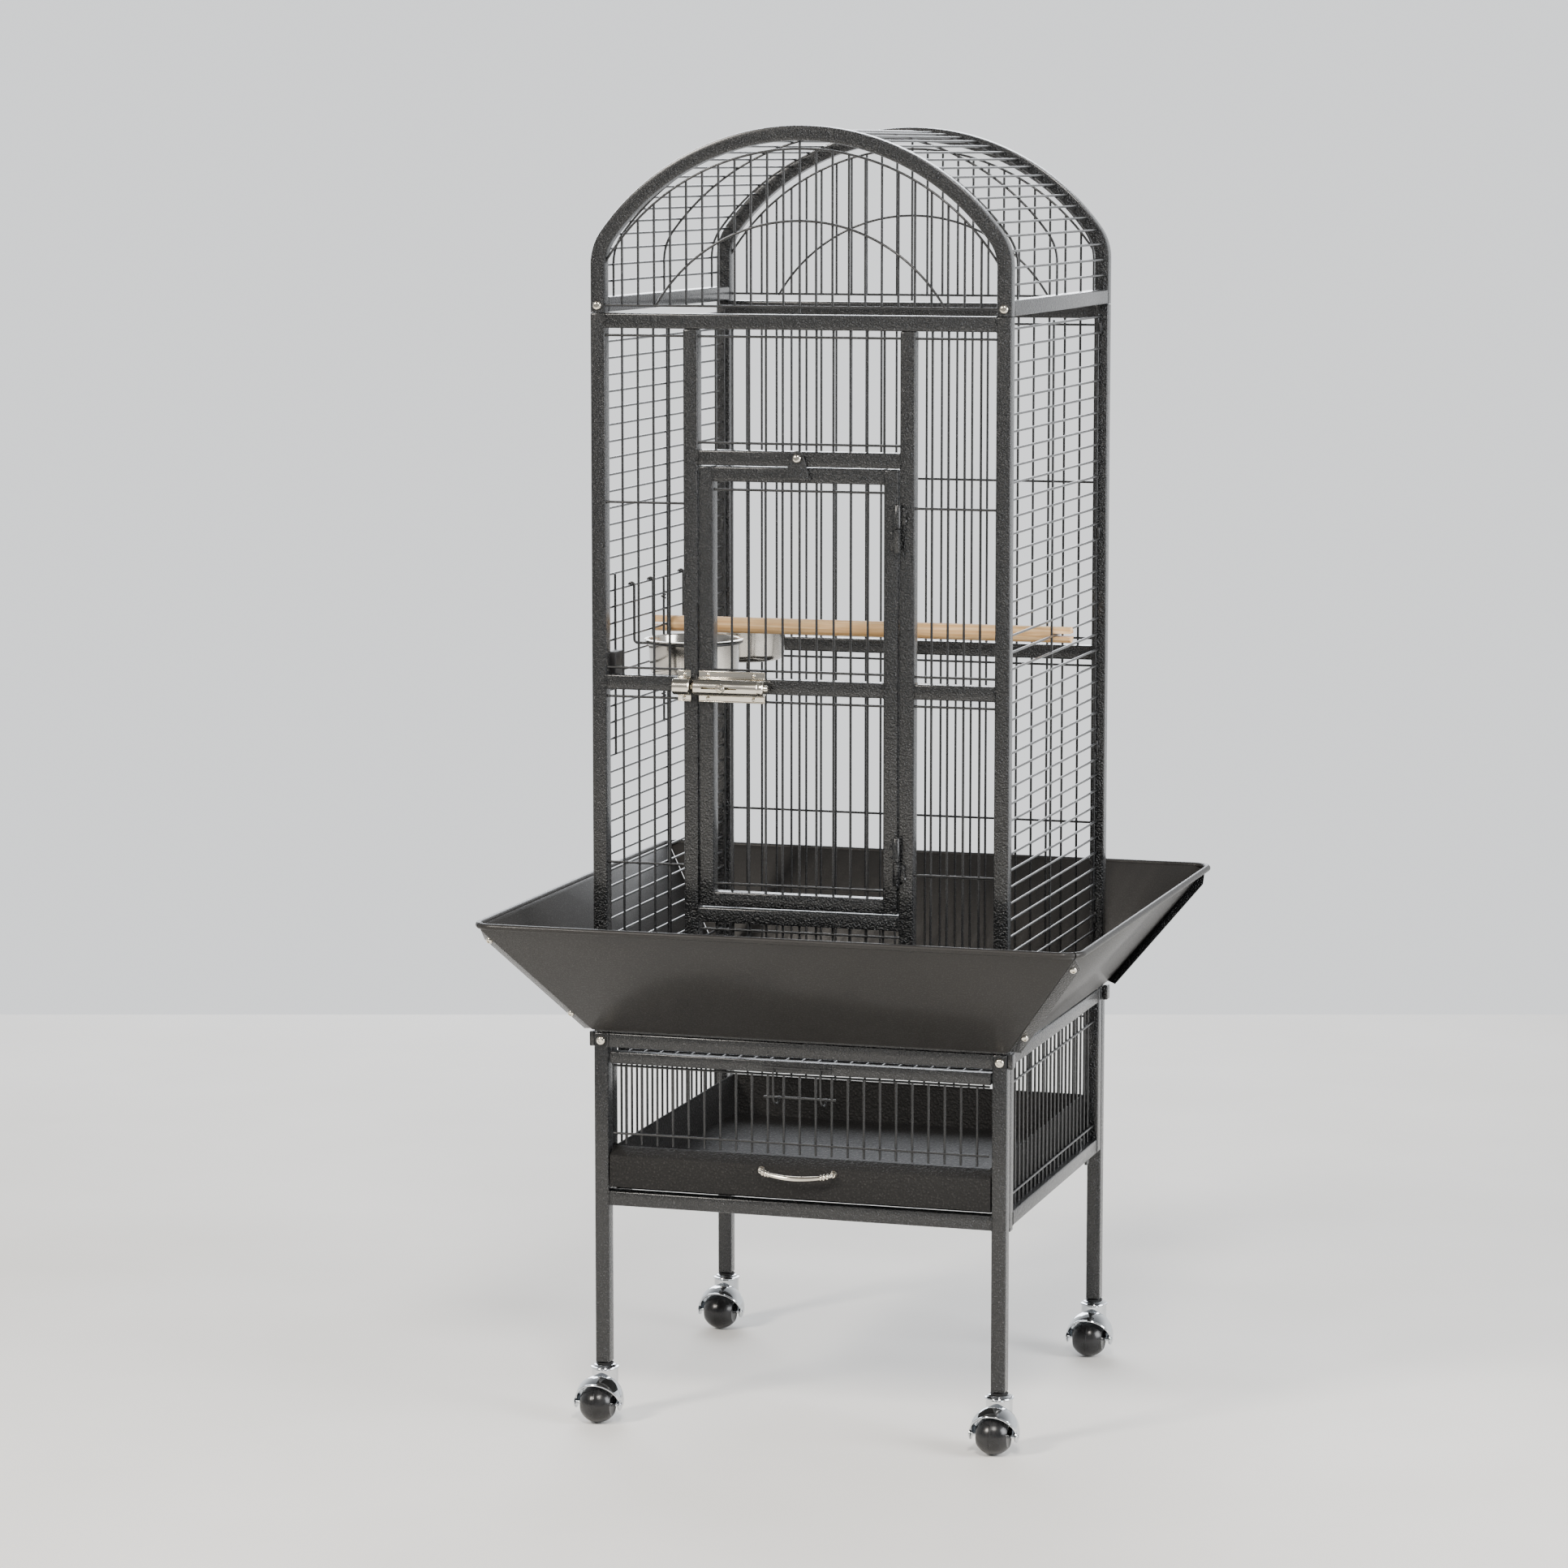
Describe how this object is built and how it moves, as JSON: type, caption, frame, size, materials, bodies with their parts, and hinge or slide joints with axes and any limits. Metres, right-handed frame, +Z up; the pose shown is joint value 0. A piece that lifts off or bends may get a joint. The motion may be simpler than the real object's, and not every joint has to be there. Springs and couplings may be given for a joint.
{
  "type": "bird cage on stand",
  "caption": "Dome-top wire bird cage on a wheeled stand, with a hinged front door, feeder door with cups, perch, seed guard, pull-out grate and tray.",
  "frame": {"origin": "on the floor, under the middle of the stand", "axes": "+Z up, -Y out of the front with the main door, +X to the right as seen from the front"},
  "size_m": [0.663, 0.6558, 1.3897],
  "materials": {
    "hammertone_black": "black hammertone powder coat over steel tube and wire",
    "satin_black_sheet": "satin black powder coat over sheet steel",
    "bright_nickel": "bright nickel or zinc plate",
    "stainless": "polished stainless",
    "black_plastic": "glossy black plastic",
    "pine": "plain sanded pine"
  },
  "bodies": {
    "cage": {"front_panel_frame": "hammertone_black", "front_wires_upper_left": "hammertone_black", "front_wires_upper_right": "hammertone_black", "front_wires_lower_left": "hammertone_black", "front_wires_lower_right": "hammertone_black", "front_wires_over_door": "hammertone_black", "front_wires_under_sill": "hammertone_black", "back_panel": "hammertone_black", "left_side_panel": "hammertone_black", "right_side_panel": "hammertone_black", "stand_front_frame": "hammertone_black", "stand_back_frame": "hammertone_black", "stand_left_grille": "hammertone_black", "stand_right_grille": "hammertone_black", "stand_back_wires": "hammertone_black", "dome_front_gable": "hammertone_black", "dome_back_gable": "hammertone_black", "roof_panel": "hammertone_black", "dome_bolt_left": "bright_nickel", "dome_bolt_right": "bright_nickel", "guard_front": "satin_black_sheet", "guard_right": "satin_black_sheet", "guard_back": "satin_black_sheet", "guard_left": "satin_black_sheet", "hinge_upper_pin_half": "hammertone_black", "hinge_lower_pin_half": "hammertone_black", "bolt_keeper": "bright_nickel", "lock_tab_bolt": "bright_nickel", "feeder_latch_block": "black_plastic", "cup_ring_rear": "hammertone_black", "perch": "pine", "caster_socket_front_left": "black_plastic", "caster_socket_front_right": "black_plastic", "caster_socket_back_left": "black_plastic", "caster_socket_back_right": "black_plastic"},
    "main_door": {"main_door": "hammertone_black", "hinge_upper_door_half": "hammertone_black", "hinge_lower_door_half": "hammertone_black", "bolt_body": "bright_nickel"},
    "bolt_rod": {"bolt_rod": "bright_nickel"},
    "lock_tab": {"lock_tab": "hammertone_black"},
    "feeder_door": {"feeder_door": "hammertone_black", "cup_ring_front": "hammertone_black"},
    "front_cup": {"cup_front": "stainless"},
    "rear_cup": {"cup_rear": "stainless"},
    "feeder_latch": {"feeder_latch_knob": "black_plastic"},
    "tray": {"debris_tray": "satin_black_sheet", "tray_handle": "bright_nickel"},
    "grate": {"floor_grate": "hammertone_black"},
    "gate": {"front_gate": "hammertone_black"},
    "gate_latch": {"gate_latch": "hammertone_black"},
    "caster_front_left": {"caster_hood_front_left": "bright_nickel"},
    "ball_front_left": {"caster_ball_front_left": "black_plastic"},
    "caster_front_right": {"caster_hood_front_right": "bright_nickel"},
    "ball_front_right": {"caster_ball_front_right": "black_plastic"},
    "caster_back_left": {"caster_hood_back_left": "bright_nickel"},
    "ball_back_left": {"caster_ball_back_left": "black_plastic"},
    "caster_back_right": {"caster_hood_back_right": "bright_nickel"},
    "ball_back_right": {"caster_ball_back_right": "black_plastic"}
  },
  "joints": [
    {"name": "main_door_hinge", "type": "hinge", "parent": "cage", "child": "main_door", "pos_m": [0.1092, -0.2294, 0.8], "axis": [0, 0, 1], "range_deg": [0, 150]},
    {"name": "slide_bolt", "type": "slide", "parent": "main_door", "child": "bolt_rod", "axis": [1, 0, 0], "range_m": [-0.018, 0.014]},
    {"name": "lock_tab_pivot", "type": "hinge", "parent": "cage", "child": "lock_tab", "pos_m": [0, -0.2277, 1.0455], "axis": [0, 1, 0], "range_deg": [-150, 150]},
    {"name": "feeder_door_hinge", "type": "hinge", "parent": "cage", "child": "feeder_door", "pos_m": [-0.22065, -0.008, 0.8181], "axis": [0, 0, -1], "range_deg": [0, 105]},
    {"name": "front_cup_lift", "type": "slide", "parent": "feeder_door", "child": "front_cup", "axis": [0, 0, 1], "range_m": [0, 0.06]},
    {"name": "rear_cup_lift", "type": "slide", "parent": "cage", "child": "rear_cup", "axis": [0, 0, 1], "range_m": [0, 0.06]},
    {"name": "feeder_latch_turn", "type": "hinge", "parent": "cage", "child": "feeder_latch", "pos_m": [-0.224, -0.1915, 0.81815], "axis": [1, 0, 0], "range_deg": [0, 90]},
    {"name": "tray_slide", "type": "slide", "parent": "cage", "child": "tray", "axis": [0, -1, 0], "range_m": [0, 0.4]},
    {"name": "grate_slide", "type": "slide", "parent": "cage", "child": "grate", "axis": [0, -1, 0], "range_m": [0, 0.38]},
    {"name": "gate_hinge", "type": "hinge", "parent": "grate", "child": "gate", "pos_m": [0, -0.2171, 0.3892], "axis": [-1, 0, 0], "range_deg": [0, 90]},
    {"name": "gate_latch_hinge", "type": "hinge", "parent": "grate", "child": "gate_latch", "pos_m": [0, -0.2263, 0.3985], "axis": [-1, 0, 0], "range_deg": [0, 100]},
    {"name": "caster_swivel_front_left", "type": "hinge", "parent": "cage", "child": "caster_front_left", "pos_m": [-0.22065, -0.21705, 0.05], "axis": [0, 0, 1], "continuous": true},
    {"name": "ball_spin_front_left", "type": "hinge", "parent": "caster_front_left", "child": "ball_front_left", "pos_m": [-0.22065, -0.24005, 0.021], "axis": [1, 0, 0], "continuous": true},
    {"name": "caster_swivel_front_right", "type": "hinge", "parent": "cage", "child": "caster_front_right", "pos_m": [0.22065, -0.21705, 0.05], "axis": [0, 0, 1], "continuous": true},
    {"name": "ball_spin_front_right", "type": "hinge", "parent": "caster_front_right", "child": "ball_front_right", "pos_m": [0.22065, -0.24005, 0.021], "axis": [1, 0, 0], "continuous": true},
    {"name": "caster_swivel_back_left", "type": "hinge", "parent": "cage", "child": "caster_back_left", "pos_m": [-0.22065, 0.21705, 0.05], "axis": [0, 0, 1], "continuous": true},
    {"name": "ball_spin_back_left", "type": "hinge", "parent": "caster_back_left", "child": "ball_back_left", "pos_m": [-0.22065, 0.19405, 0.021], "axis": [1, 0, 0], "continuous": true},
    {"name": "caster_swivel_back_right", "type": "hinge", "parent": "cage", "child": "caster_back_right", "pos_m": [0.22065, 0.21705, 0.05], "axis": [0, 0, 1], "continuous": true},
    {"name": "ball_spin_back_right", "type": "hinge", "parent": "caster_back_right", "child": "ball_back_right", "pos_m": [0.22065, 0.19405, 0.021], "axis": [1, 0, 0], "continuous": true}
  ]
}
